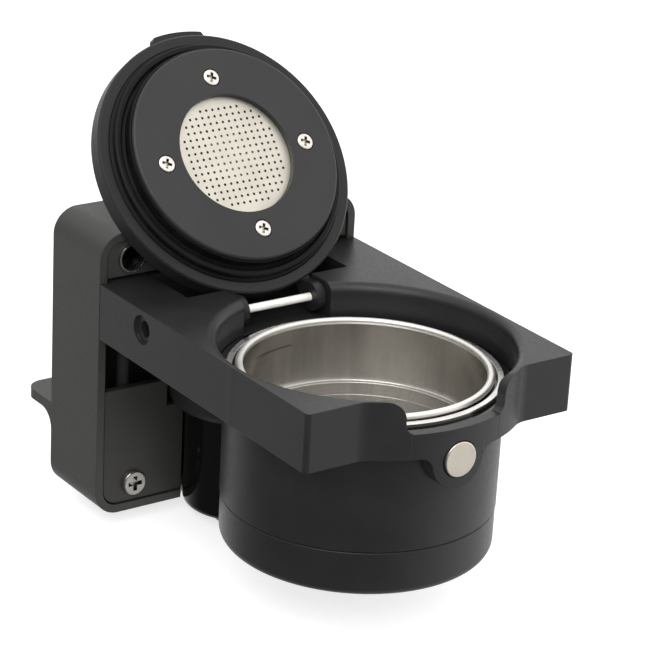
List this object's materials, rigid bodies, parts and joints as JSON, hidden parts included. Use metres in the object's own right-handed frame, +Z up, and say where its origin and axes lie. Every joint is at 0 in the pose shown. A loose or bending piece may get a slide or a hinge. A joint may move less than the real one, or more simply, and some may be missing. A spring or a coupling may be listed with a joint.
{
  "type": "pod coffee machine brew head",
  "caption": "Wall-held coffee brew head: rear housing, flat arm with brew chamber and steel filter basket, hinged lid with perforated shower plate, and a push button in front.",
  "frame": {"origin": "centre of the flat rear face of the housing", "axes": "+Z up, +Y out of the rear face towards the wall, +X to the right seen from in front"},
  "size_m": [0.0926, 0.1643, 0.1436],
  "materials": {
    "charcoal_plastic": "fine moulded grain",
    "warm_grey_plastic": "fine moulded grain",
    "panel_plastic": "fine moulded grain",
    "lid_plastic": "satin",
    "cup_plastic": "soft satin",
    "gloss_black_plastic": "glossy",
    "seal_rubber": "matt silicone",
    "zinc_steel": "plated",
    "bright_steel": "bright",
    "black_steel": "black oxide",
    "spring_steel": "bright",
    "satin_button": "satin",
    "screen_steel": "satin, perforated",
    "basket_steel": "brushed round",
    "cream_plastic": "smooth",
    "dark_tube": "smooth, slightly glossy",
    "rim_steel": "bright"
  },
  "bodies": {
    "head": {"rear_housing": "warm_grey_plastic", "upper_panel": "panel_plastic", "lower_panel": "panel_plastic", "lower_panel_screws": "zinc_steel", "upper_panel_screws": "black_steel", "panel_bushings": "bright_steel", "brew_arm": "charcoal_plastic", "arm_bolts": "black_steel", "front_block": "charcoal_plastic", "button_spring": "spring_steel", "hinge_pin": "bright_steel", "hinge_set_screw": "black_steel", "chamber_liner": "gloss_black_plastic", "cup_body": "cup_plastic", "cup_base": "cup_plastic", "base_seal": "seal_rubber", "coffee_outlet": "gloss_black_plastic", "filter_basket": "basket_steel", "seat_ring": "rim_steel", "column_collar": "charcoal_plastic", "column_body": "gloss_black_plastic", "drain_nozzle": "gloss_black_plastic", "water_tube": "dark_tube", "tube_nut": "gloss_black_plastic"},
    "lid": {"lid_cap": "lid_plastic", "lid_gasket": "seal_rubber", "shower_plate": "lid_plastic", "shower_screen": "screen_steel", "spreader_disc": "cream_plastic", "lid_screws": "bright_steel"},
    "push_button": {"button": "satin_button"}
  },
  "joints": [
    {"name": "lid_hinge", "type": "hinge", "parent": "head", "child": "lid", "pos_m": [0, -0.0535, 0.0255], "axis": [1, 0, 0], "range_deg": [0, 129.4]},
    {"name": "button_press", "type": "slide", "parent": "head", "child": "push_button", "axis": [0, 1, 0], "range_m": [0, 0.0015], "stiffness_N_per_m": 400, "springref_m": -0.001, "deforming": ["button_spring"]}
  ]
}
